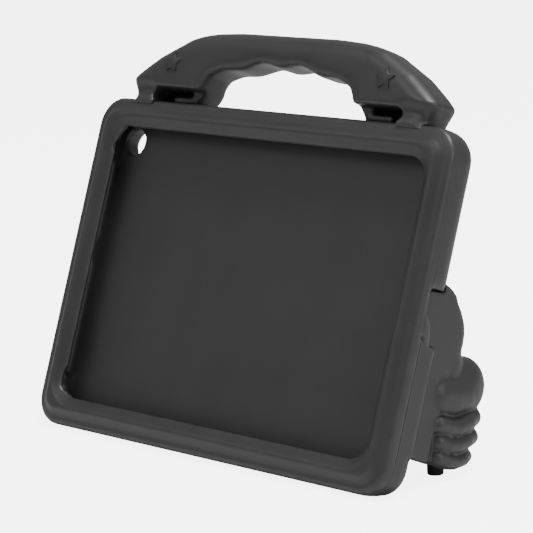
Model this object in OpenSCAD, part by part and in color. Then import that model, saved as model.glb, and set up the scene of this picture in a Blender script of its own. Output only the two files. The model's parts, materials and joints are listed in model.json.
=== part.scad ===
// Foam tablet case with a receiver-shaped carry handle and two fold-out hands that prop it up.
//
// Every sub-part is drawn in the case's own frame: +X to the user's right, +Y into the back,
// +Z up along the screen, with the origin at the middle of the tablet's glass.
// stand() then leans that frame back and lifts it, so that the finished object rests on Z = 0.

/* [Tablet] */
// Length of the tablet that the pocket takes
tablet_w = 200; // [190:0.1:210]
// Height of the tablet, held sideways
tablet_h = 134.7; // [128:0.1:140]
// Thickness of the tablet
tablet_t = 7.3; // [6:0.1:8]
// Radius of the tablet's corners
tablet_r = 9; // [6:0.5:11]

/* [Case] */
// Thickness of the foam wall on the left and right
side_wall = 6.1; // [5:0.1:9]
// Thickness of the foam wall above and below the tablet
end_wall = 7.85; // [6:0.05:10]
// Thickness of the foam behind the tablet
back_wall = 8.4; // [8.4:0.1:12]
// Height of the front crest over the glass
crest_h = 4.5; // [3:0.1:6]
// Radius of the case's corners, seen from the front
corner_r = 13; // [12:0.5:20]
// Radius of the edge round the back
back_r = 9; // [4:0.5:10]
// Rounding of the bottom edge at the back, which the case leans on
base_r = 14; // [9:0.5:15]
// How far the lip reaches in over the tablet's face, left and right
lip_side = 7; // [4:0.1:10]
// How far the lip reaches in over the tablet's face, above and below
lip_end = 5.35; // [3:0.05:8]
// Depth of the joint between the front frame and the back shell, behind the glass
seam_y = 2.7; // [2:0.1:4]
// Angle that the case leans back at
lean = 20; // [16:0.5:22]

/* [Handle] */
// Height of the handle's crown over the middle of the glass
handle_top = 109.3; // [104:0.1:112]
// Depth of the handle's grip, front to back
handle_depth = 20; // [16:0.5:22]
// Rounding of the grip's long edges
grip_r = 7; // [3:0.5:7.5]
// Spacing of the finger scallops under the grip
scallop_pitch = 23.5; // [20:0.5:26]
// Depth of each finger scallop
scallop_depth = 2; // [1:0.5:3]
// Reach of the star on each end of the handle
star_r = 5; // [3:0.5:6]

/* [Hands] */
// Diameter of the steel hinge pins
pin_d = 3; // [2.5:0.1:3.2]
// Outside diameter of the nylon pin sleeves
sleeve_d = 5; // [4.5:0.1:5]
// Distance of each hinge pin from the middle of the case
pin_x = 86; // [85:0.5:87]
// Depth of the hinge pins behind the glass
pin_y = 12.5; // [12.3:0.1:12.7]
// Running clearance between a pin and the sleeve that turns on it
pin_gap = 0.05; // [0.02:0.01:0.1]
// Gap between a hand and the case
move_gap = 0.3; // [0.25:0.05:0.5]
// Thickness of a hand, without its fingers
palm_t = 14.8; // [12:0.1:15]
// Diameter of the rubber feet
foot_d = 7; // [5:0.5:8]

/* [Hidden] */
$fn = 64;

// Far enough past a face for a cut to come out clean
over = 2;

foam = "#3d3e40";
foam_dark = "#2f3032";
steel = "#b9bcc0";
nylon = "#e4e2da";
rubber = "#17181a";

// Case outline
pocket_gap = 0.4;
pocket_hw = tablet_w / 2 + pocket_gap;
pocket_hh = tablet_h / 2 + pocket_gap;
pocket_t = tablet_t + 0.3;
case_hw = pocket_hw + side_wall;
case_hh = pocket_hh + end_wall;
case_back = pocket_t + back_wall;
window_hw = tablet_w / 2 - lip_side;
window_hh = tablet_h / 2 - lip_end;
window_r = 9;
lip_slope = 5;
lip_edge = 1;

// Front rim: a high inner crest, a hollow and a low outer shoulder
crest_s = corner_r - 8;
crest_r = 3;
shoulder_r = 2.3;
hollow_r = 2.5;
shoulder_s = corner_r - shoulder_r;
hollow_h = shoulder_r + hollow_r;
hollow_rise = hollow_h - (crest_h - crest_r);
hollow_run = sqrt(pow(crest_r + hollow_r, 2) - pow(hollow_rise, 2));
hollow_s = crest_s + hollow_run;
meet = crest_r / (crest_r + hollow_r);

// Notches for the hands
notch_top = 11;
notch_bottom = -12;
notch_in = 5.5;
notch_floor = pocket_t + 0.6;
tab_x = pocket_hw + 0.8;
cheek_y = 13;
cheek_bottom = -57;

// Hinge
hinge_hz = 28;
barrel_r = 4;
barrel_gap = 0.5;
barrel_top = notch_top - barrel_gap;
barrel_bottom = notch_bottom + barrel_gap;

// Front edge of the thumb's tab, as depth and height
tab_top = [[6.5, 10.7], [4.6, 10.1], [3.5, 8.9], [3, 7]];
tab_front = [[3, 2.8], [3.7, 0.8], [4.8, -0.3], [6.7, -1.7], [8.1, -5.8], [9.2, -9.3], [9.6, -11.7]];

// Hand
palm_x = pin_x + case_back + move_gap - pin_y;
palm_out = palm_x + palm_t;
finger_out = palm_out + 1.6;
foot_x = 94;
foot_y = 43;
foot_top = 13;
root_y = 9;

// Standing place: the flat under the back edge touches the table
sole_cut = 0.3;
sole_y = case_back - base_r;
sole_z = case_hh - base_r;
floor_level = -(sole_y * sin(lean) + sole_z * cos(lean) + base_r) + sole_cut;
front_most = -(crest_h - crest_r) * cos(lean) - (case_hh - corner_r + crest_s) * sin(lean) - crest_r;
grip_back_y = handle_depth - crest_h + 0.5;
rear_most = (grip_back_y - grip_r) * cos(lean) + (handle_top - grip_r) * sin(lean) + grip_r;
mid_y = (front_most + rear_most) / 2;

// Turns the case's frame into the frame of the standing object
module stand() {
    translate([0, -mid_y, -floor_level]) rotate([-lean, 0, 0]) children();
}

// Mirrors its children to the left hand side when side is -1
module on_side(side) {
    if (side > 0) children();
    else mirror([1, 0, 0]) children();
}

// A block with rounded corners. Its child is the section from the corner's centre outwards:
// X runs outwards, and Y is the height towards the user.
module rim_block(half_w, half_h, r) {
    cx = half_w - r;
    cz = half_h - r;
    rotate([90, 0, 0]) {
        for (q = [0:3]) {
            sx = (q == 0 || q == 3) ? 1 : -1;
            sz = (q < 2) ? 1 : -1;
            translate([sx * cx, sz * cz, 0]) rotate([0, 0, q * 90]) rotate_extrude(angle = 90) children();
        }
        for (turn = [0, 180]) rotate([0, 0, turn]) {
            translate([cx, 0, 0]) rotate([90, 0, 0]) linear_extrude(2 * cz, center = true) children();
            rotate([0, 0, 90])
                translate([cz, 0, 0]) rotate([90, 0, 0]) linear_extrude(2 * cx, center = true) children();
        }
    }
}

// The plain middle that a rim is built round
module core(half_w, half_h, y0, y1) {
    translate([-half_w, y0, -half_h]) cube([2 * half_w, y1 - y0, 2 * half_h]);
}

// A flat slab between two depths, with rounded corners
module slab(half_w, half_h, r, y0, y1) {
    translate([0, y1, 0]) rotate([90, 0, 0]) linear_extrude(y1 - y0) {
        square([2 * (half_w - r), 2 * half_h], center = true);
        square([2 * half_w, 2 * (half_h - r)], center = true);
        for (sx = [-1, 1], sz = [-1, 1])
            translate([sx * (half_w - r), sz * (half_h - r)]) circle(r);
    }
}

// Section of the front frame's rim
module front_section() {
    translate([0, -seam_y]) square([crest_s, crest_h + seam_y]);
    translate([0, -seam_y]) square([shoulder_s, shoulder_r + seam_y]);
    translate([0, -seam_y]) square([corner_r, seam_y]);
    translate([crest_s, crest_h - crest_r]) circle(crest_r);
    translate([shoulder_s, 0]) circle(shoulder_r);
    difference() {
        polygon([
            [crest_s, crest_h - crest_r],
            [crest_s + hollow_run * meet, crest_h - crest_r + hollow_rise * meet],
            [hollow_s, shoulder_r],
            [hollow_s, 0],
            [crest_s, 0]
        ]);
        translate([hollow_s, hollow_h]) circle(hollow_r);
    }
}

// Section of the back shell's rim
module back_section() {
    translate([0, -(case_back - back_r)]) square([corner_r, case_back - back_r - seam_y]);
    translate([0, -case_back]) square([corner_r - back_r, case_back - seam_y]);
    translate([corner_r - back_r, -(case_back - back_r)]) intersection() {
        circle(back_r);
        translate([0, -back_r]) square(back_r);
    }
}

// Section of the sloping hole that the screen shows through
module window_section() {
    polygon([
        [0, -over],
        [window_r, -over],
        [window_r, lip_edge],
        [window_r + lip_slope, crest_h],
        [window_r + lip_slope + over, crest_h + over],
        [0, crest_h + over]
    ]);
}

module window_cut() {
    rim_block(window_hw, window_hh, window_r) window_section();
    core(window_hw - window_r, window_hh - window_r, -crest_h - over, over);
}

// Cuts an outline right through the lip
module lip_cut() {
    translate([0, over, 0]) rotate([90, 0, 0]) linear_extrude(crest_h + 2 * over) children();
}

// The finger room that the lip leaves round the button beside the screen
module button_relief() {
    lip_cut() translate([window_hw, 0]) polygon([
        [-3, 13.5], [0, 12], [1.2, 10.8], [2.6, 9.2], [3.3, 7], [3.6, 2],
        [3.6, -4], [3.1, -7], [0, -11], [-3, -12.5]
    ]);
}

// Small notches in the lip beside the window's two left corners
module corner_reliefs() {
    lip_cut() translate([-window_hw, 0]) {
        polygon([[3, 48], [0, 50], [-0.8, 52], [-0.8, 54.5], [5, window_hh + 0.8], [12, window_hh - 1]]);
        polygon([[3, -46], [0, -49], [-1, -52], [-1, -57], [0.5, -59.5], [6, -59.5]]);
    }
}

// Everything outside the larger rounding of the bottom edge at the back
module base_trim() {
    translate([-case_hw - over, case_back - base_r, base_r - case_hh])
        rotate([90, 0, 90]) linear_extrude(2 * (case_hw + over)) difference() {
            translate([0, -base_r - over]) square(base_r + over);
            circle(base_r);
        }
}

// Everything below the table top
module sole_trim() {
    rotate([lean, 0, 0])
        translate([-case_hw, -case_hh, floor_level - 10]) cube([2 * case_hw, 2 * case_hh, 10]);
}

module front_frame() {
    color(foam) stand() difference() {
        union() {
            rim_block(case_hw, case_hh, corner_r) front_section();
            core(case_hw - corner_r, case_hh - corner_r, -crest_h, seam_y);
        }
        window_cut();
        button_relief();
        corner_reliefs();
        slab(pocket_hw, pocket_hh, tablet_r, 0, seam_y + over);
    }
}

// Room for one hand: its root behind the tablet, and its thumb beside it
module hand_notch() {
    notch_h = notch_top - notch_bottom;
    translate([pin_x - notch_in, notch_floor, notch_bottom]) cube([case_hw, back_wall + over, notch_h]);
    gap_y = 0.45;
    translate([tab_x, 0, 0]) rotate([90, 0, 90]) linear_extrude(case_hw) polygon(concat(
        [[case_back, notch_bottom], [case_back, notch_top], [tab_front[0][0] - gap_y, notch_top]],
        [for (p = tab_front) [p[0] - gap_y, p[1]]],
        [[9, notch_bottom]]
    ));
}

// Bores for the fixed sleeves above and below a hand's root
module pin_bores() {
    translate([pin_x, pin_y, -hinge_hz]) cylinder(h = 2 * hinge_hz, d = sleeve_d);
}

// Flat pad on the side of the case, in front of the palm
module cheek() {
    translate([tab_x, seam_y, cheek_bottom])
        cube([case_hw - tab_x, cheek_y - seam_y, notch_bottom - cheek_bottom]);
}

module camera_hole() {
    translate([-90, pocket_t - over, 57]) rotate([-90, 0, 0]) cylinder(h = back_wall + 2 * over, r = 6);
}

// Openings for the keys and the sockets along the tablet's edges
module edge_openings() {
    translate([-case_hw - over, 1.5, 46]) cube([side_wall + 2 * over, 4.5, 12]);
    translate([-case_hw - over, 3.8, -55]) rotate([0, 90, 0]) cylinder(h = side_wall + 2 * over, r = 3.5);
    translate([-76, 1.5, pocket_hh - over]) cube([22, 4.5, end_wall + 2 * over]);
}

module back_shell() {
    color(foam_dark) stand() difference() {
        union() {
            rim_block(case_hw, case_hh, corner_r) back_section();
            core(case_hw - corner_r, case_hh - corner_r, seam_y, case_back);
            for (side = [-1, 1]) on_side(side) cheek();
        }
        slab(pocket_hw, pocket_hh, tablet_r, -over, pocket_t);
        for (side = [-1, 1]) on_side(side) {
            hand_notch();
            pin_bores();
        }
        camera_hole();
        edge_openings();
        base_trim();
        sole_trim();
    }
}

// Front outline of the handle, as if it had no hand opening
module handle_outline() {
    half = [
        [28, 109.3], [43, 108.5], [51, 107.3], [58.5, 105.2], [66.5, 101.2], [75.5, 96.8],
        [81, 93.1], [87, 88.9], [90.4, 86], [91.2, 84.7], [90.5, 83.3], [87.5, 77], [87.5, 73.5]
    ];
    drop = handle_top - half[0][1];
    right = [for (p = half) [p[0], p[1] + (p[1] > 76 ? drop : 0)]];
    left = [for (i = [len(half) - 1:-1:0]) [-right[i][0], right[i][1]]];
    polygon(concat(right, left));
}

// Height of the grip's underside: a low arch with a scallop for each finger
function underside(x) =
    handle_top - 14 - 0.004 * x * x - scallop_depth / 2 * cos(360 * x / scallop_pitch);

// The opening that the user's fingers go through
module hand_opening() {
    wall = [
        [42.2, 88.7], [43.5, 87], [44.6, 85.3], [45.5, 83.5], [46.5, 82], [48, 80],
        [49.8, 78], [51, 76], [51.5, 72]
    ];
    last = len(wall) - 1;
    polygon(concat(
        [for (x = [-40:2:40]) [x, underside(x)]],
        wall,
        [for (i = [last:-1:0]) [-wall[i][0], wall[i][1]]]
    ));
}

// Blind slot at the foot of each leg. Its front part is open to the front and to the hand opening.
// Behind that a block fills its lower half, and the upper half runs on behind a thin inner wall.
module base_recess() {
    front = -crest_h - over;
    slot_h = 6.2;
    inner_x = 40;
    wall_x = 54;
    end_x = 72;
    shelf_y = 2.6;
    shelf_h = 3.2;
    deep_y = 12;
    difference() {
        union() {
            translate([inner_x, front, case_hh]) cube([end_x - inner_x, shelf_y - front, slot_h]);
            translate([wall_x, front, case_hh]) cube([end_x - wall_x, deep_y - front, slot_h]);
            translate([end_x, deep_y, case_hh + slot_h / 2])
                rotate([90, 0, 0]) cylinder(h = deep_y - front, r = slot_h / 2);
        }
        translate([inner_x, shelf_y, case_hh - over]) cube([26, deep_y, shelf_h + over]);
    }
    // Clears the leg's skirt in front of the case's top edge
    translate([inner_x, front, case_hh - 6]) cube([end_x + 1 - inner_x, 8, 6.5]);
}

module grip_section() {
    depth_in = handle_depth - 2 * grip_r;
    translate([grip_back_y - handle_depth, 60]) square([handle_depth, handle_top - grip_r - 60]);
    translate([grip_back_y - handle_depth + grip_r, 60]) square([depth_in, handle_top - 60]);
    for (y = [grip_back_y - handle_depth + grip_r, grip_back_y - grip_r])
        translate([y, handle_top - grip_r]) circle(grip_r);
}

// The straight run of the case's top edge, which the handle sits on
module top_edge() {
    rotate([90, 0, 0]) rotate([0, 0, 90]) translate([case_hh - corner_r, 0, 0])
        rotate([90, 0, 0]) linear_extrude(2 * case_hw, center = true) {
            front_section();
            back_section();
        }
}

module star() {
    polygon([for (i = [0:9]) (i % 2 ? 0.5 : 1) * star_r * [sin(i * 36), cos(i * 36)]]);
}

module carry_handle() {
    front = grip_back_y - handle_depth;
    color(foam) stand() difference() {
        union() {
            intersection() {
                translate([0, grip_back_y, 0]) rotate([90, 0, 0]) linear_extrude(handle_depth) difference() {
                    handle_outline();
                    hand_opening();
                }
                translate([-case_hw, 0, 0]) rotate([90, 0, 90]) linear_extrude(2 * case_hw) grip_section();
            }
            for (side = [-1, 1])
                translate([side * 64, front + 0.2, 93]) rotate([90, 0, 0]) linear_extrude(0.6) star();
        }
        top_edge();
        for (side = [-1, 1]) on_side(side) base_recess();
    }
}

// Side outline of a hand: X is the depth and Y is the height
module hand_outline() {
    polygon([
        [cheek_y + move_gap, 0], [32.3, 0], [34, -10.5], [47, -20], [48.6, -52], [41, -58.5],
        [20, -58.5], [cheek_y + move_gap, -56.5]
    ]);
    translate([17.5, 0.5]) circle(15.3);
    translate([41, -24]) circle(13);
    translate([48.8, -33]) circle(6.2);
    translate([49.8, -41]) circle(6.2);
    translate([47.8, -49]) circle(6.2);
    translate([41, -50]) circle(8.5);
}

// Plan of a hand's palm: it wraps the case's back edge with a small gap
module palm_plan() {
    difference() {
        translate([palm_x, cheek_y + move_gap]) square([palm_t, 45]);
        square([case_hw - back_r, case_back + move_gap]);
        translate([case_hw - back_r, case_back - back_r]) circle(back_r + move_gap, $fn = 96);
    }
}

// One folded finger across the outside of the palm
module finger(y0, y1, z, r) {
    translate([finger_out - r, y0, z]) rotate([-90, 0, 0]) cylinder(h = y1 - y0, r = r);
    for (y = [y0, y1]) translate([finger_out - r, y, z]) sphere(r);
}

module hand_solid() {
    intersection() {
        translate([palm_x, 0, 0]) rotate([90, 0, 90]) linear_extrude(palm_t) hand_outline();
        translate([0, 0, -70]) linear_extrude(100) palm_plan();
    }
    // Root and barrel, inside the notch
    translate([pin_x, pin_y, barrel_bottom]) cylinder(h = barrel_top - barrel_bottom, r = barrel_r);
    translate([pin_x, root_y, notch_bottom + move_gap])
        cube([palm_out - pin_x, case_back + 1 - root_y, notch_top - notch_bottom - 2 * move_gap]);
    // Thumb tab, which stops against the front of the notch
    translate([tab_x + move_gap, 0, 0])
        rotate([90, 0, 90]) linear_extrude(palm_out - tab_x - move_gap) polygon(concat(
            [[case_back + 1, notch_bottom + move_gap], [case_back + 1, notch_top - move_gap]],
            tab_top, tab_front
        ));
    // Folded fingers
    finger(28, 44, -28, 6.5);
    finger(32, 48, -39, 4.1);
    finger(35, 49, -46.3, 3.9);
    finger(37.5, 47.5, -52.8, 3.5);
}

// A foot's peg, upright when the case stands
module foot_peg(r, h) {
    rotate([lean, 0, 0])
        translate([foot_x, foot_y * cos(lean) + foot_floor_z() * sin(lean), floor_level])
            cylinder(h = h, r = r);
}

// Height on the case's own Z where the table passes under a foot
function foot_floor_z() = (floor_level + foot_y * sin(lean)) / cos(lean);

module hand(side) {
    color(foam) stand() on_side(side) difference() {
        hand_solid();
        translate([pin_x, pin_y, -hinge_hz]) cylinder(h = 2 * hinge_hz, d = sleeve_d);
        foot_peg(foot_d / 2, foot_top);
    }
}

module foot(side) {
    color(rubber) stand() on_side(side) foot_peg(foot_d / 2, foot_top);
}

module hinge_pin(side) {
    color(steel) stand() on_side(side)
        translate([pin_x, pin_y, -hinge_hz]) cylinder(h = 2 * hinge_hz, d = pin_d);
}

// A tube round the pin, between two heights
module sleeve(side, z0, z1, bore_d) {
    color(nylon) stand() on_side(side) translate([pin_x, pin_y, z0]) difference() {
        cylinder(h = z1 - z0, d = sleeve_d);
        translate([0, 0, -over]) cylinder(h = z1 - z0 + 2 * over, d = bore_d);
    }
}

module upper_pin_sleeve(side) { sleeve(side, notch_top, hinge_hz, pin_d); }

module lower_pin_sleeve(side) { sleeve(side, -hinge_hz, notch_bottom, pin_d); }

module knuckle_sleeve(side) { sleeve(side, barrel_bottom, barrel_top, pin_d + 2 * pin_gap); }

front_frame();
back_shell();
carry_handle();
hand(1);  // right_hand
hand(-1);  // left_hand
hinge_pin(1);  // right_hinge_pin
hinge_pin(-1);  // left_hinge_pin
upper_pin_sleeve(1);  // right_upper_pin_sleeve
lower_pin_sleeve(1);  // right_lower_pin_sleeve
upper_pin_sleeve(-1);  // left_upper_pin_sleeve
lower_pin_sleeve(-1);  // left_lower_pin_sleeve
knuckle_sleeve(1);  // right_knuckle_sleeve
knuckle_sleeve(-1);  // left_knuckle_sleeve
foot(1);  // right_foot
foot(-1);  // left_foot
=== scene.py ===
"""Foam tablet case: a moulded body, a receiver-shaped handle and two hands that prop it up.

Every piece is drawn in the case's own frame, in millimetres: +X to the user's right, +Y into
the back, +Z up along the screen, from the middle of the tablet's glass. CASE stands it up.
"""

import json
import math

import bmesh
import bpy
from mathutils import Matrix, Vector


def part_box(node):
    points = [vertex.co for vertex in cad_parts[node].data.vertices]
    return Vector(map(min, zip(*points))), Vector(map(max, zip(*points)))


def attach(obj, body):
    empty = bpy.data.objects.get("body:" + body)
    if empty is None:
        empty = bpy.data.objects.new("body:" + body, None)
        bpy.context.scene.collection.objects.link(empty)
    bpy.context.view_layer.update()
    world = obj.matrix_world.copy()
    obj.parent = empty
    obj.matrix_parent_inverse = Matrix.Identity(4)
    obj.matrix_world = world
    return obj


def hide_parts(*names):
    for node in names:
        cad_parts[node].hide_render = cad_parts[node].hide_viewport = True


bl_info = {
    "name": "Foam tablet case",
    "version": (1, 0, 0),
    "blender": (4, 5, 0),
    "location": "View3D > Sidebar > Tablet case",
    "description": "Builds a foam tablet case with a carry handle and two fold-out hands",
    "category": "Add Mesh",
}

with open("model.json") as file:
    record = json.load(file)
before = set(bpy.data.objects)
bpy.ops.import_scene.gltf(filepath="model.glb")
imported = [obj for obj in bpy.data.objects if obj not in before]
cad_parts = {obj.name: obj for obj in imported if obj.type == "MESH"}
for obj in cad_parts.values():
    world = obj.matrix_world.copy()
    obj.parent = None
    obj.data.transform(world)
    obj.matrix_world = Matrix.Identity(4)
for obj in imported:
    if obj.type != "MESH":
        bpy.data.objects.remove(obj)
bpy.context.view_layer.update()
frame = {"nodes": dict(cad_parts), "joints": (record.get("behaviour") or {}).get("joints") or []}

MM = 0.001
RIGHT, LEFT = 1, -1
# Hinge pin of the right hand, in the case's frame
PIN = Vector((86.0, 12.5, 0.0))
# Depth of the joint between the front frame and the back shell
SEAM_Y = 2.7
# Vertices of a CAD node closer than this are one, in millimetres
MERGE_DIST = 0.001
# Longest step between the balls that a finger is strung from, in millimetres
FINGER_STEP = 1.2


def case_matrix():
    """Turns the case's millimetres into the standing object's metres, by the right hand's hinge."""
    hinge = next(j for j in frame["joints"] if j["name"] == "right_hand_fold")
    up = Vector(hinge["axis"]).normalized()
    right = Vector((1, 0, 0))
    turn = Matrix((right, up.cross(right), up)).transposed().to_4x4()
    spot = Vector(hinge["pos_m"]) - turn @ (PIN * MM)
    return Matrix.Translation(spot) @ turn @ Matrix.Scale(MM, 4)


CASE = case_matrix()


# ---------------------------------------------------------------- mesh helpers


def node_copy(*names):
    """A merged copy of CAD nodes, in the case's millimetres."""
    bm = bmesh.new()
    for name in names:
        bm.from_mesh(frame["nodes"][name].data)
    bmesh.ops.transform(bm, matrix=CASE.inverted(), verts=bm.verts)
    bmesh.ops.remove_doubles(bm, verts=bm.verts, dist=MERGE_DIST)
    return bm


def scratch_object(bm, name):
    """A linked object made of a bmesh, which is freed."""
    mesh = bpy.data.meshes.new(name)
    bm.to_mesh(mesh)
    bm.free()
    obj = bpy.data.objects.new(name, mesh)
    bpy.context.scene.collection.objects.link(obj)
    return obj


def applied(obj):
    """The object's mesh with its modifiers applied, as a new bmesh. The object is removed."""
    bpy.context.view_layer.update()
    graph = bpy.context.evaluated_depsgraph_get()
    bm = bmesh.new()
    bm.from_object(obj, graph)
    mesh = obj.data
    bpy.data.objects.remove(obj)
    bpy.data.meshes.remove(mesh)
    return bm


def clay(bm, voxel, rounds):
    """Fuses overlapping solids into one skin of even quads, and smooths it all over."""
    obj = scratch_object(bm, "clay")
    remesh = obj.modifiers.new("Fuse", "REMESH")
    remesh.mode = "VOXEL"
    remesh.voxel_size = voxel
    smooth = obj.modifiers.new("Soften", "SMOOTH")
    smooth.factor = 0.5
    smooth.iterations = rounds
    return applied(obj)


def soften(bm, rounds, where):
    """Smooths only the vertices that where(co) picks."""
    verts = [v for v in bm.verts if where(v.co)]
    for _ in range(rounds):
        bmesh.ops.smooth_vert(
            bm, verts=verts, factor=0.5, use_axis_x=True, use_axis_y=True, use_axis_z=True
        )


def blend_in(value, start, end):
    """0 before start and 1 after end, with a soft ramp between."""
    t = min(max((value - start) / (end - start), 0.0), 1.0)
    return t * t * (3 - 2 * t)


def add_edge_highlight(mesh):
    """Stores how proud each vertex stands of its neighbours, which the painted highlight along the
    foam's convex edges follows.
    """
    bm = bmesh.new()
    bm.from_mesh(mesh)
    bm.normal_update()
    proud = []
    for v in bm.verts:
        ring = [e.other_vert(v).co for e in v.link_edges]
        gap = v.co - sum(ring, Vector()) / len(ring)
        step = sum(e.calc_length() for e in v.link_edges) / len(ring)
        proud.append(gap.dot(v.normal) / max(step, 1e-9))
    near = [[e.other_vert(v).index for e in v.link_edges] for v in bm.verts]
    for _ in range(4):
        proud = [0.5 * p + 0.5 * sum(proud[i] for i in n) / len(n) for p, n in zip(proud, near)]
    bm.free()
    # Mask for the painted highlight on convex edges, also used to make them less rough
    layer = mesh.attributes.new("rub", "FLOAT", "POINT")
    layer.data.foreach_set("value", proud)


def finish_piece(bm, name, material, body, slot, *nodes, rub=False):
    """Turns a bmesh in the case's millimetres into a finished piece that rides on a body."""
    bmesh.ops.transform(bm, matrix=CASE, verts=bm.verts)
    bmesh.ops.recalc_face_normals(bm, faces=bm.faces)
    for face in bm.faces:
        face.smooth = True
    mesh = bpy.data.meshes.new(name)
    bm.to_mesh(mesh)
    bm.free()
    # Marks the convex edges that the foam's painted highlight follows
    if rub:
        add_edge_highlight(mesh)
    mesh.materials.append(material)
    piece = bpy.data.objects.new(name, mesh)
    bpy.context.scene.collection.objects.link(piece)
    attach(piece, body)
    if nodes:
        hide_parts(*nodes)


def mirror_to(bm, side):
    """Turns a right-hand shape into its mirror image on the left."""
    if side == LEFT:
        bmesh.ops.scale(bm, vec=(-1, 1, 1), verts=bm.verts)
        bmesh.ops.reverse_faces(bm, faces=bm.faces)


def add_ball(bm, centre, radii):
    """An ellipsoid with a radius along each axis."""
    matrix = Matrix.Translation(centre) @ Matrix.Diagonal((*radii, 1))
    bmesh.ops.create_uvsphere(bm, u_segments=24, v_segments=14, radius=1, matrix=matrix)


def add_finger(bm, path, radii):
    """A rounded finger: one ellipsoid after another along a path of points."""
    for a, b in zip(path, path[1:]):
        a, b = Vector(a), Vector(b)
        steps = max(2, round((b - a).length / FINGER_STEP))
        for i in range(steps + 1):
            add_ball(bm, a.lerp(b, i / steps), radii)


def add_slab(bm, outline, x0, x1, bevel):
    """A slab of an outline in Y and Z from x0 to x1, with the rims of both faces rounded."""
    verts = [bm.verts.new((x0, y, z)) for y, z in outline]
    base = bm.faces.new(verts)
    made = bmesh.ops.extrude_face_region(bm, geom=[base])["geom"]
    top = [v for v in made if isinstance(v, bmesh.types.BMVert)]
    bmesh.ops.translate(bm, vec=(x1 - x0, 0, 0), verts=top)
    ring = set(verts) | set(top)
    faces = [f for f in bm.faces if all(v in ring for v in f.verts)]
    bmesh.ops.recalc_face_normals(bm, faces=faces)
    rim = [
        e for e in bm.edges
        if all(v in ring for v in e.verts) and abs(e.verts[0].co.x - e.verts[1].co.x) < MERGE_DIST
    ]
    bmesh.ops.bevel(
        bm, geom=rim, offset=bevel, segments=4, profile=0.5, affect="EDGES", material=-1
    )


def add_block(bm, low, high):
    """A box between two opposite corners."""
    size = [b - a for a, b in zip(low, high)]
    middle = [(a + b) / 2 for a, b in zip(low, high)]
    matrix = Matrix.Translation(middle) @ Matrix.Diagonal((*size, 1))
    bmesh.ops.create_cube(bm, size=1, matrix=matrix)


# ---------------------------------------------------------------- materials


class Nodes:
    """A new material, and short ways to lay out its nodes."""

    def __init__(self, name):
        self.material = bpy.data.materials.new(name)
        self.material.use_nodes = True
        self.tree = self.material.node_tree
        self.shader = self.tree.nodes["Principled BSDF"]
        self.coords = self.tree.nodes.new("ShaderNodeTexCoord").outputs["Object"]

    def add(self, kind, **values):
        """A node with its own settings, such as a Math node's operation."""
        node = self.tree.nodes.new(kind)
        for key, value in values.items():
            setattr(node, key, value)
        return node

    def link(self, out, into):
        self.tree.links.new(out, into)

    def noise(self, scale, detail=3.0, roughness=0.5, vector=None):
        node = self.add("ShaderNodeTexNoise")
        node.inputs["Scale"].default_value = scale
        node.inputs["Detail"].default_value = detail
        node.inputs["Roughness"].default_value = roughness
        self.link(vector or self.coords, node.inputs["Vector"])
        return node.outputs["Fac"]

    def ramp(self, value, low, high, start=0.0, end=1.0):
        """Goes from low to high as the value goes from start to end."""
        node = self.add("ShaderNodeMapRange")
        node.inputs["From Min"].default_value = start
        node.inputs["From Max"].default_value = end
        node.inputs["To Min"].default_value = low
        node.inputs["To Max"].default_value = high
        self.link(value, node.inputs["Value"])
        return node.outputs["Result"]

    def maths(self, operation, a, b):
        node = self.add("ShaderNodeMath", operation=operation)
        for value, socket in zip((a, b), node.inputs):
            if isinstance(value, (int, float)):
                socket.default_value = value
            else:
                self.link(value, socket)
        return node.outputs["Value"]

    def mix(self, factor, a, b):
        node = self.add("ShaderNodeMix", data_type="RGBA")
        self.link(factor, node.inputs["Factor"])
        for value, socket in zip((a, b), (node.inputs["A"], node.inputs["B"])):
            if isinstance(value, (tuple, list)):
                socket.default_value = (*value[:3], 1)
            else:
                self.link(value, socket)
        return node.outputs["Result"]

    def bump(self, height, distance, strength=1.0, normal=None):
        node = self.add("ShaderNodeBump")
        node.inputs["Distance"].default_value = distance
        node.inputs["Strength"].default_value = strength
        self.link(height, node.inputs["Height"])
        if normal:
            self.link(normal, node.inputs["Normal"])
        return node.outputs["Normal"]


def moulded_foam(name, colour):
    """Moulded closed-cell foam: a fine dull grain, soft dents, and a painted highlight that makes
    convex edges paler, where they are also smoother.
    """
    n = Nodes(name)
    highlight_colour = [min(1.0, c * 2.1) for c in colour]
    dark = [c * 0.86 for c in colour]
    patches = n.noise(38, detail=4)
    fine = n.noise(900, detail=2)
    rub = n.add("ShaderNodeAttribute", attribute_name="rub").outputs["Fac"]
    # Painted highlight: convex edges are mixed towards a colour about twice as pale, in patches of
    # noise, and the same mask lowers their roughness
    edge = n.ramp(rub, 0.0, 1.0, 0.01, 0.10)
    painted_highlight = n.maths("MULTIPLY", edge, n.ramp(n.noise(160, detail=3), 0.2, 1.0, 0.35, 0.65))
    base = n.mix(n.ramp(patches, 0.0, 1.0, 0.3, 0.7), dark, tuple(colour))
    n.link(n.mix(n.maths("MULTIPLY", painted_highlight, 0.55), base, highlight_colour), n.shader.inputs["Base Color"])
    mottle = n.ramp(patches, 0.42, 0.50, 0.3, 0.7)
    rough = n.maths("ADD", mottle, n.ramp(fine, -0.03, 0.03, 0.3, 0.7))
    sheen = n.maths("MULTIPLY", painted_highlight, 0.10)
    n.link(n.maths("SUBTRACT", rough, sheen), n.shader.inputs["Roughness"])
    n.shader.inputs["Specular IOR Level"].default_value = 0.5
    dents = n.bump(n.noise(75, detail=2), 0.0006, 0.35)
    pores = n.bump(n.noise(1500, detail=3, roughness=0.6), 0.00006, 0.5, dents)
    n.link(pores, n.shader.inputs["Normal"])
    return n.material


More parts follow.
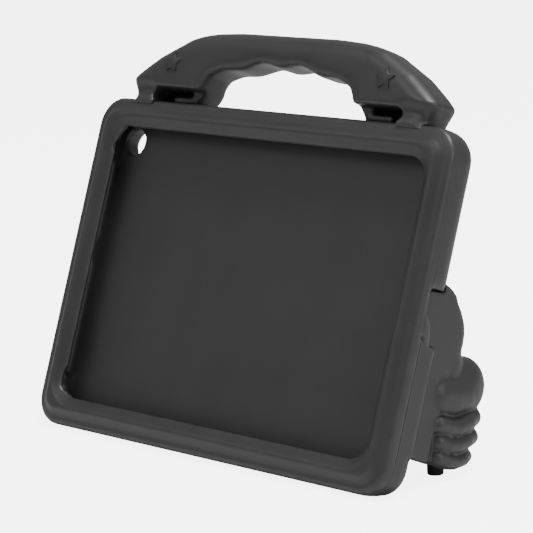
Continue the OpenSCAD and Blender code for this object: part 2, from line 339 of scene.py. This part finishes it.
def black_rubber(name, colour):
    """Black rubber with a faint mottle and a matt skin."""
    n = Nodes(name)
    dark = [c * 0.8 for c in colour]
    n.link(n.mix(n.noise(300), dark, tuple(colour)), n.shader.inputs["Base Color"])
    n.link(n.ramp(n.noise(800), 0.5, 0.7), n.shader.inputs["Roughness"])
    n.link(n.bump(n.noise(2200), 0.00005, 0.5), n.shader.inputs["Normal"])
    return n.material


def drawn_steel(name, colour):
    """Ground steel wire with fine rings round it."""
    n = Nodes(name)
    stretch = n.add("ShaderNodeMapping")
    stretch.inputs["Scale"].default_value = (1, 4, 30)
    n.link(n.coords, stretch.inputs["Vector"])
    rings = n.noise(120, vector=stretch.outputs["Vector"])
    dark = [c * 0.85 for c in colour]
    n.link(n.mix(rings, dark, tuple(colour)), n.shader.inputs["Base Color"])
    n.link(n.ramp(rings, 0.25, 0.4), n.shader.inputs["Roughness"])
    n.shader.inputs["Metallic"].default_value = 1.0
    return n.material


def natural_nylon(name, colour):
    """Undyed nylon: off-white, faintly cloudy, and lit a little from within."""
    n = Nodes(name)
    cloud = n.noise(220, detail=2)
    dark = [c * 0.92 for c in colour]
    n.link(n.mix(cloud, dark, tuple(colour)), n.shader.inputs["Base Color"])
    n.link(n.ramp(cloud, 0.38, 0.5), n.shader.inputs["Roughness"])
    n.shader.inputs["Subsurface Weight"].default_value = 0.1
    n.shader.inputs["Subsurface Scale"].default_value = 0.001
    return n.material


def studio_floor(name, colour):
    """A plain pale floor that looks white to the camera and throws no light of its own."""
    n = Nodes(name)
    dark = [c * 0.985 for c in colour]
    n.link(n.mix(n.noise(2), dark, tuple(colour)), n.shader.inputs["Base Color"])
    n.shader.inputs["Roughness"].default_value = 0.9
    n.shader.inputs["Specular IOR Level"].default_value = 0.1
    seen = n.add("ShaderNodeLightPath").outputs["Is Camera Ray"]
    n.shader.inputs["Emission Color"].default_value = (1, 1, 1, 1)
    n.link(n.maths("MULTIPLY", seen, 5.0), n.shader.inputs["Emission Strength"])
    return n.material


def shared(name, make, colour):
    """A material that several pieces share, made the first time that it is asked for."""
    return bpy.data.materials.get(name) or make(name, colour)


# ---------------------------------------------------------------- settings


class CaseSettings(bpy.types.PropertyGroup):
    """Colours and finenesses of the case's pieces"""

    foam_colour: bpy.props.FloatVectorProperty(
        name="Foam", description="Colour of the moulded foam", subtype="COLOR", size=3,
        default=(0.026, 0.0262, 0.0266), min=0.0, max=1.0,
    )
    rubber_colour: bpy.props.FloatVectorProperty(
        name="Rubber", description="Colour of the feet", subtype="COLOR", size=3,
        default=(0.012, 0.012, 0.013), min=0.0, max=1.0,
    )
    body_grain: bpy.props.FloatProperty(
        name="Body grain", description="Size of the body's mesh faces, in millimetres",
        default=1.1, min=0.8, max=3.0,
    )
    handle_grain: bpy.props.FloatProperty(
        name="Handle grain", description="Size of the handle's mesh faces, in millimetres",
        default=0.8, min=0.6, max=3.0,
    )
    hand_grain: bpy.props.FloatProperty(
        name="Hand grain", description="Size of a hand's mesh faces, in millimetres",
        default=0.65, min=0.5, max=3.0,
    )
    star_reach: bpy.props.FloatProperty(
        name="Star", description="Reach of the star on each end of the handle, in millimetres",
        default=5.0, min=3.0, max=6.0,
    )


class StageSettings(bpy.types.PropertyGroup):
    """The camera and the floor"""

    distance: bpy.props.FloatProperty(
        name="Camera distance", description="From the camera to the case",
        subtype="DISTANCE", default=1.09, min=0.3, max=5.0,
    )
    azimuth: bpy.props.FloatProperty(
        name="Azimuth", description="Turn of the camera from the front towards the right",
        subtype="ANGLE", default=math.radians(45.46), min=-math.pi, max=math.pi,
    )
    elevation: bpy.props.FloatProperty(
        name="Elevation", description="Height of the camera over the case",
        subtype="ANGLE", default=math.radians(10.75), min=0.0, max=math.pi / 2,
    )
    roll: bpy.props.FloatProperty(
        name="Roll", description="Turn of the camera about its own axis",
        subtype="ANGLE", default=math.radians(-2.01), min=-0.5, max=0.5,
    )
    lens: bpy.props.FloatProperty(
        name="Lens", description="Focal length on a 36 mm wide sensor",
        default=172.3, min=20, max=300,
    )
    floor_colour: bpy.props.FloatVectorProperty(
        name="Floor", description="Colour of the plain floor", subtype="COLOR", size=3,
        default=(0.90, 0.90, 0.90), min=0.0, max=1.0,
    )


# ---------------------------------------------------------------- pieces


def foam():
    """The one foam that the case, the handle and the hands are moulded in."""
    return shared("moulded_foam", moulded_foam, bpy.context.scene.case_settings.foam_colour)


class CASE_OT_body(bpy.types.Operator):
    """Build the front frame and the back shell from one softened moulding"""

    bl_idname = "tablet_case.body"
    bl_label = "Case body"

    # Fine line along the joint: half its width, its depth, and the heights that it runs between
    LINE_HALF, LINE_DEPTH = 0.35, 0.7
    LINE_LOW, LINE_HIGH = -60, -9
    # Pinhole: its height, its reach and its depth
    HOLE_Z, HOLE_REACH, HOLE_DEPTH = -9.4, 0.9, 2.2
    # The side walls lie further out than this
    SIDE_X = 103
    # How near to the joint a vertex counts as on it, and how near it may still sink
    ON_LINE, NEAR_LINE = 0.01, 0.4

    def execute(self, context):
        settings = context.scene.case_settings
        whole = clay(node_copy("front_frame", "back_shell"), settings.body_grain, rounds=3)
        self.groove(whole)
        for name, node, keep in (
            ("front_frame_foam", "front_frame", -1),
            ("back_shell_foam", "back_shell", 1),
        ):
            half = whole.copy()
            cut = bmesh.ops.bisect_plane(
                half, geom=half.verts[:] + half.edges[:] + half.faces[:],
                plane_co=(0, SEAM_Y, 0), plane_no=(0, -keep, 0), clear_outer=True,
            )["geom_cut"]
            edges = [g for g in cut if isinstance(g, bmesh.types.BMEdge)]
            bmesh.ops.triangle_fill(half, edges=edges, use_beauty=True)
            finish_piece(half, name, foam(), "case", "foam", node, rub=True)
        whole.free()
        return {"FINISHED"}

    def groove(self, bm):
        """Sinks a fine line along the joint below each hand's notch, with a pinhole at its top."""
        for offset in (-self.LINE_HALF, 0.0, self.LINE_HALF):
            bmesh.ops.bisect_plane(
                bm, geom=bm.verts[:] + bm.edges[:] + bm.faces[:],
                plane_co=(0, SEAM_Y + offset, 0), plane_no=(0, 1, 0),
            )
        for v in bm.verts:
            away = abs(v.co.y - SEAM_Y)
            if abs(v.co.x) < self.SIDE_X or away > self.NEAR_LINE:
                continue
            depth = 0.0
            if away < self.ON_LINE and self.LINE_LOW < v.co.z < self.LINE_HIGH:
                depth = self.LINE_DEPTH
            if abs(v.co.z - self.HOLE_Z) < self.HOLE_REACH:
                depth = self.HOLE_DEPTH
            v.co.x -= math.copysign(depth, v.co.x)


class CASE_OT_handle(bpy.types.Operator):
    """Build the receiver-shaped carry handle"""

    bl_idname = "tablet_case.handle"
    bl_label = "Carry handle"

    # Right half of the outer edge and of the opening's edge, as X and Z
    OUTER = (
        (0.0, 109.3), (28.0, 109.3), (43.0, 108.5), (51.0, 107.3), (58.5, 105.2), (66.5, 101.2),
        (75.5, 96.8), (81.0, 93.1), (87.0, 88.9), (90.4, 86.0), (91.2, 84.7), (90.5, 83.3),
        (87.5, 77.0),
    )
    INNER = (
        (0.0, 94.5), (11.7, 95.6), (23.5, 92.3), (35.0, 91.0), (40.0, 89.3), (42.2, 88.7),
        (44.6, 85.3), (46.5, 82.0), (49.8, 78.0), (51.0, 76.0),
    )
    FRONT_Y, BACK_Y = -4.0, 16.0
    # Rounding of the front and back edges round the outside, and of the front edge round the
    # opening, whose back edge goes from nearly sharp beside the slots to soft under the grip
    OUTER_FRONT_R, OUTER_BACK_R = 7.0, 6.0
    INNER_FRONT_R = 4.0
    SLOT_BACK_R, GRIP_BACK_R = 1.0, 5.0
    # Dip in each end's front: heights of its crease and of the flare below it, its depth, the
    # flare against it, and the two ramps along X that it sinks and rises over
    CREASE_Z, FLARE_Z = 84.6, 80.0
    DIP, FLARE = 2.4, 0.6
    DIP_IN, DIP_OUT = (70, 77), (83, 90)

    def execute(self, context):
        grain = context.scene.case_settings.handle_grain
        bm = clay(node_copy("carry_handle"), grain, rounds=0)
        for v in bm.verts:
            self.round_edges(v.co)
            self.hollow_cheek(v.co)
        bm = clay(bm, grain, rounds=5)
        soften(bm, 14, lambda co: abs(co.x) < 52 and co.z > 84)
        finish_piece(bm, "carry_handle_foam", foam(), "case", "foam", "carry_handle", rub=True)
        return {"FINISHED"}

    def edge_distance(self, co, outline):
        """Distance in the front view to an outline that is mirrored left to right."""
        spot = Vector((abs(co.x), co.z))
        nearest = math.inf
        for a, b in zip(outline, outline[1:]):
            a, b = Vector(a), Vector(b)
            along = min(max((spot - a).dot(b - a) / (b - a).length_squared, 0.0), 1.0)
            nearest = min(nearest, (spot - a.lerp(b, along)).length)
        return nearest

    def round_edges(self, co):
        """Rolls the front and the back in towards the outline's edges, less so around the slots."""
        grip = blend_in(co.z, 79, 87)
        inner_back_r = self.SLOT_BACK_R + (self.GRIP_BACK_R - self.SLOT_BACK_R) * grip
        for outline, front_r, back_r in (
            (self.OUTER, self.OUTER_FRONT_R, self.OUTER_BACK_R),
            (self.INNER, self.INNER_FRONT_R, inner_back_r),
        ):
            away = self.edge_distance(co, outline)
            if away < front_r:
                co.y = max(co.y, self.FRONT_Y + self.edge_drop(away, front_r))
            if away < back_r:
                co.y = min(co.y, self.BACK_Y - self.edge_drop(away, back_r))

    def edge_drop(self, away, radius):
        """How far a rounded edge has dropped at a distance from the outline, within its radius."""
        return radius - math.sqrt(radius ** 2 - (radius - away) ** 2)

    def hollow_cheek(self, co):
        """Below the crease at each end the front dips a little, and flares again at its foot."""
        across = blend_in(abs(co.x), *self.DIP_IN) - blend_in(abs(co.x), *self.DIP_OUT)
        dip = blend_in(self.CREASE_Z - co.z, -1, 4)
        flare = self.FLARE * blend_in(self.FLARE_Z - co.z, 0, 4)
        front = min(max((6 - co.y) / 9, 0.0), 1.0)
        co.y += self.DIP * across * (dip - flare) * front


class CASE_OT_stars(bpy.types.Operator):
    """Build the raised star on each end of the handle"""

    bl_idname = "tablet_case.stars"
    bl_label = "Handle stars"

    # Middle of the right star, sunk into the handle's front, and its full height
    MIDDLE = Vector((64.0, -2.6, 93.0))
    HEIGHT = 2.5
    # Rounding of its rim, and reach of its inner corners against its points
    RIM_R = 0.6
    WAIST = 0.5

    def execute(self, context):
        reach = context.scene.case_settings.star_reach
        for side, word in ((RIGHT, "right"), (LEFT, "left")):
            bm = bmesh.new()
            verts = [bm.verts.new(self.MIDDLE + corner) for corner in self.corners(reach)]
            base = bm.faces.new(verts)
            made = bmesh.ops.extrude_face_region(bm, geom=[base])["geom"]
            top = [v for v in made if isinstance(v, bmesh.types.BMVert)]
            bmesh.ops.translate(bm, vec=(0, -self.HEIGHT, 0), verts=top)
            bmesh.ops.recalc_face_normals(bm, faces=bm.faces)
            rim = [e for e in bm.edges if all(v in top for v in e.verts)]
            bmesh.ops.bevel(
                bm, geom=rim, offset=self.RIM_R, segments=3, profile=0.5,
                affect="EDGES", material=-1,
            )
            mirror_to(bm, side)
            finish_piece(bm, f"{word}_handle_star", foam(), "case", "foam")
        return {"FINISHED"}

    def corners(self, reach):
        """Ten corners of a plain five-pointed star, from its middle."""
        for i in range(10):
            r = reach if i % 2 == 0 else reach * self.WAIST
            yield Vector((r * math.sin(i * math.pi / 5), 0, r * math.cos(i * math.pi / 5)))


class CASE_OT_hands(bpy.types.Operator):
    """Build the two thumbs-up hands that prop the case up"""

    bl_idname = "tablet_case.hands"
    bl_label = "Hands"

    # Outlines as depth and height: the thumb and palm, their crisp front part, the thumb's tab,
    # and the fist under the fingers
    PALM = (
        (19.0, -57.4), (19.0, 13.4), (23.7, 10.8), (28.6, 6.4), (32.2, 1.5), (33.8, -3.0),
        (34.2, -7.4), (34.2, -11.0), (33.0, -16.0), (27.5, -23.0), (26.0, -40.0), (28.0, -57.4),
    )
    FRONT = (
        (13.4, -56.4), (13.4, 14.6), (17.3, 13.6), (22.0, 11.4), (25.5, 6.0), (26.5, -10.0),
        (25.0, -57.4), (18.0, -57.4),
    )
    TAB = (
        (18.0, -11.7), (18.0, 10.7), (6.5, 10.7), (4.6, 10.1), (3.5, 8.9), (3.0, 7.0), (3.0, 2.8),
        (3.7, 0.8), (4.8, -0.3), (6.7, -1.7), (8.1, -5.8), (9.2, -9.3), (9.6, -11.7),
    )
    FIST = (
        (22.0, -57.4), (22.0, -18.0), (31.0, -9.5), (42.0, -13.0), (50.0, -19.0), (51.0, -30.0),
        (50.0, -50.0), (44.0, -57.0), (36.0, -58.2),
    )
    # Across the hand: its flat outer face, the fist's, the tab's inner face and the hand's own
    FACE_X, FIST_X, TAB_X, INNER_X = 104.0, 102.0, 101.5, 89.8
    # Roundings of the palm, the fist, the palm's front part and the tab
    PALM_R, FIST_R, FRONT_R, TAB_R = 4.2, 3.0, 0.8, 0.6
    # Two corners of the root in the back notch
    ROOT = ((84.0, 9.2, -11.6), (103.0, 17.5, 10.6))
    # Middle and radii of the knuckle, and of the flesh between it and the thumb
    KNUCKLE = ((97.2, 42.0, -24.3), (9.2, 12.7, 13.0))
    FLESH = ((97.0, 30.5, -17.0), (7.6, 7.4, 9.5))
    # Index, middle, ring and little fingers: path from the tip to the knuckle, and radii
    FINGERS = (
        (((99.6, 26.8, -29.6), (99.8, 34.0, -29.2), (99.4, 41.0, -26.8)), (7.2, 7.6, 8.8)),
        (((100.4, 28.6, -41.2), (100.8, 33.5, -41.6), (100.9, 39.0, -40.6), (100.4, 45.0, -37.6),
          (98.4, 50.0, -35.2), (94.6, 50.8, -34.6)), (6.4, 4.8, 4.8)),
        (((100.4, 31.0, -48.2), (100.8, 35.0, -48.7), (100.9, 40.0, -47.9), (100.4, 45.6, -45.2),
          (98.4, 50.8, -43.2), (94.6, 51.6, -42.8)), (6.4, 4.8, 4.5)),
        (((100.4, 32.6, -54.3), (100.8, 36.5, -55.0), (100.7, 41.5, -54.5), (100.2, 46.2, -52.8),
          (98.2, 49.8, -51.4), (94.6, 50.2, -51.0)), (6.2, 4.7, 3.9)),
    )
    # The case's rounded back edge, with room round it: centre as X and Y, and radius
    EDGE_CENTRE, EDGE_R = Vector((97.5, 7.0)), 9.4
    # Nearest that the hand comes to the case's back, where its inner side starts to be flat, and
    # the heights of the notch that it fills
    CLEAR_Y, FLAT_Y = 16.35, 16.4
    NOTCH_LOW, NOTCH_HIGH = -12.0, 11.0

    def execute(self, context):
        for side, word in ((RIGHT, "right"), (LEFT, "left")):
            bm = clay(self.shape(), context.scene.case_settings.hand_grain, rounds=1)
            # The back of the thumb, then the outer side between the thumb and the knuckle
            soften(bm, 5, lambda co: co.y > 20 and co.z > -10)
            soften(bm, 24, lambda co: 22 < co.y < 42 and -24 < co.z < -8 and co.x > 98)
            for v in bm.verts:
                self.clear_case(v.co)
            mirror_to(bm, side)
            body = f"{word}_hand"
            finish_piece(bm, f"{body}_foam", foam(), body, "foam", body, rub=True)
        return {"FINISHED"}

    def shape(self):
        """The overlapping solids of a right hand."""
        bm = bmesh.new()
        add_slab(bm, self.PALM, self.INNER_X, self.FACE_X, self.PALM_R)
        add_slab(bm, self.FRONT, self.INNER_X, self.FACE_X, self.FRONT_R)
        add_slab(bm, self.TAB, self.TAB_X, self.FACE_X, self.TAB_R)
        add_slab(bm, self.FIST, self.INNER_X, self.FIST_X, self.FIST_R)
        add_block(bm, *self.ROOT)
        add_ball(bm, *self.KNUCKLE)
        add_ball(bm, *self.FLESH)
        for path, radii in self.FINGERS:
            add_finger(bm, path, radii)
        return bm

    def clear_case(self, co):
        """Keeps the hand clear of the case's back and of its rounded back edge."""
        if self.NOTCH_LOW < co.z < self.NOTCH_HIGH:
            return
        if co.y > self.FLAT_Y:
            co.x = max(co.x, self.INNER_X)
        if co.x < self.EDGE_CENTRE.x:
            co.y = max(co.y, self.CLEAR_Y)
            return
        away = co.xy - self.EDGE_CENTRE
        if 0 < away.length < self.EDGE_R:
            co.xy = self.EDGE_CENTRE + away.normalized() * self.EDGE_R


class CASE_OT_feet(bpy.types.Operator):
    """Build the rubber foot under each hand"""

    bl_idname = "tablet_case.feet"
    bl_label = "Rubber feet"

    # Rounding of a foot's rims, in metres
    RIM_R = 0.0007

    def execute(self, context):
        rubber = shared("black_rubber", black_rubber, context.scene.case_settings.rubber_colour)
        for word in ("right", "left"):
            name = f"{word}_foot"
            low, high = (Vector(corner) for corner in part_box(name))
            middle, size = (low + high) / 2, high - low
            bm = bmesh.new()
            bmesh.ops.create_cone(
                bm, cap_ends=True, segments=48, radius1=size.x / 2, radius2=size.x / 2,
                depth=size.z, matrix=Matrix.Translation(middle),
            )
            rim = [e for e in bm.edges if len(e.link_faces) == 2 and e.calc_face_angle() > 1]
            bmesh.ops.bevel(
                bm, geom=rim, offset=self.RIM_R, segments=4, profile=0.5,
                affect="EDGES", material=-1,
            )
            bmesh.ops.transform(bm, matrix=CASE.inverted(), verts=bm.verts)
            finish_piece(bm, f"{name}_rubber", rubber, f"{word}_hand", "black_rubber", name)
        return {"FINISHED"}


class CASE_OT_hinges(bpy.types.Operator):
    """Give the hinge pins and their sleeves their metal and nylon"""

    bl_idname = "tablet_case.hinges"
    bl_label = "Hinge pins and sleeves"

    STEEL_COLOUR = (0.62, 0.63, 0.65)
    NYLON_COLOUR = (0.72, 0.71, 0.66)

    def execute(self, context):
        for ending, material in (
            ("_pin", shared("drawn_steel", drawn_steel, self.STEEL_COLOUR)),
            ("_sleeve", shared("natural_nylon", natural_nylon, self.NYLON_COLOUR)),
        ):
            for name, node in frame["nodes"].items():
                if name.endswith(ending):
                    node.data.materials.clear()
                    node.data.materials.append(material)
        return {"FINISHED"}


# ---------------------------------------------------------------- stage


class CASE_OT_stage(bpy.types.Operator):
    """Set up the plain floor, the soft lights and the camera"""

    bl_idname = "tablet_case.stage"
    bl_label = "Stage"

    # What the camera and the lights aim at
    TARGET = Vector((0.00737, 0.00001, 0.07872))
    # Place, size in metres and power in watts of each light
    LIGHTS = {
        "key_light": ((-0.5, -0.9, 1.1), 0.7, 3.6),
        "top_light": ((0.3, 0.1, 1.3), 0.5, 15.0),
        "side_light": ((1.3, -0.1, 0.7), 0.5, 4.0),
    }
    SKY_STRENGTH = 0.42

    def execute(self, context):
        self.floor(context.scene.stage_settings)
        self.sky(context.scene)
        for name, values in self.LIGHTS.items():
            self.soft_light(name, *values)
        self.camera(context.scene)
        return {"FINISHED"}

    def floor(self, settings):
        bm = bmesh.new()
        bmesh.ops.create_grid(bm, x_segments=4, y_segments=4, size=6)
        mesh = bpy.data.meshes.new("floor")
        bm.to_mesh(mesh)
        bm.free()
        mesh.materials.append(studio_floor("studio_floor", settings.floor_colour))
        plane = bpy.data.objects.new("floor", mesh)
        bpy.context.scene.collection.objects.link(plane)

    def sky(self, scene):
        world = bpy.data.worlds.new("studio")
        world.use_nodes = True
        glow = world.node_tree.nodes["Background"]
        glow.inputs["Color"].default_value = (1, 1, 1, 1)
        glow.inputs["Strength"].default_value = self.SKY_STRENGTH
        scene.world = world

    def soft_light(self, name, place, size, power):
        lamp = bpy.data.lights.new(name, "AREA")
        lamp.shape = "SQUARE"
        lamp.size = size
        lamp.energy = power
        obj = bpy.data.objects.new(name, lamp)
        obj.location = place
        obj.rotation_euler = (self.TARGET - Vector(place)).to_track_quat("-Z", "Y").to_euler()
        bpy.context.scene.collection.objects.link(obj)

    def camera(self, scene):
        settings = scene.stage_settings
        level = math.cos(settings.elevation)
        away = Vector((
            math.sin(settings.azimuth) * level,
            -math.cos(settings.azimuth) * level,
            math.sin(settings.elevation),
        ))
        data = bpy.data.cameras.new("camera")
        data.lens = settings.lens
        data.sensor_width = 36
        data.clip_end = 20
        obj = bpy.data.objects.new("camera", data)
        place = Matrix.Translation(self.TARGET + away * settings.distance)
        aim = (-away).to_track_quat("-Z", "Y").to_matrix().to_4x4()
        obj.matrix_world = place @ aim @ Matrix.Rotation(settings.roll, 4, "Z")
        scene.collection.objects.link(obj)
        scene.camera = obj


class CASE_PT_panel(bpy.types.Panel):
    """Lists the pieces of the tablet case"""

    bl_idname = "CASE_PT_panel"
    bl_label = "Tablet case"
    bl_space_type = "VIEW_3D"
    bl_region_type = "UI"
    bl_category = "Tablet case"

    def draw(self, context):
        for group in (context.scene.case_settings, context.scene.stage_settings):
            for name in group.bl_rna.properties.keys():
                if name not in {"rna_type", "name"}:
                    self.layout.prop(group, name)
        for operator in OPERATORS:
            self.layout.operator(operator.bl_idname)


OPERATORS = (
    CASE_OT_body, CASE_OT_handle, CASE_OT_stars, CASE_OT_hands, CASE_OT_feet, CASE_OT_hinges,
    CASE_OT_stage,
)
CLASSES = (CaseSettings, StageSettings, *OPERATORS, CASE_PT_panel)


def register():
    for cls in CLASSES:
        bpy.utils.register_class(cls)
    bpy.types.Scene.case_settings = bpy.props.PointerProperty(type=CaseSettings)
    bpy.types.Scene.stage_settings = bpy.props.PointerProperty(type=StageSettings)


def unregister():
    del bpy.types.Scene.stage_settings
    del bpy.types.Scene.case_settings
    for cls in reversed(CLASSES):
        bpy.utils.unregister_class(cls)


def main():
    register()
    bpy.ops.tablet_case.body()
    bpy.ops.tablet_case.handle()
    bpy.ops.tablet_case.stars()
    bpy.ops.tablet_case.hands()
    bpy.ops.tablet_case.feet()
    bpy.ops.tablet_case.hinges()
    bpy.ops.tablet_case.stage()


if __name__ == "__main__":
    main()
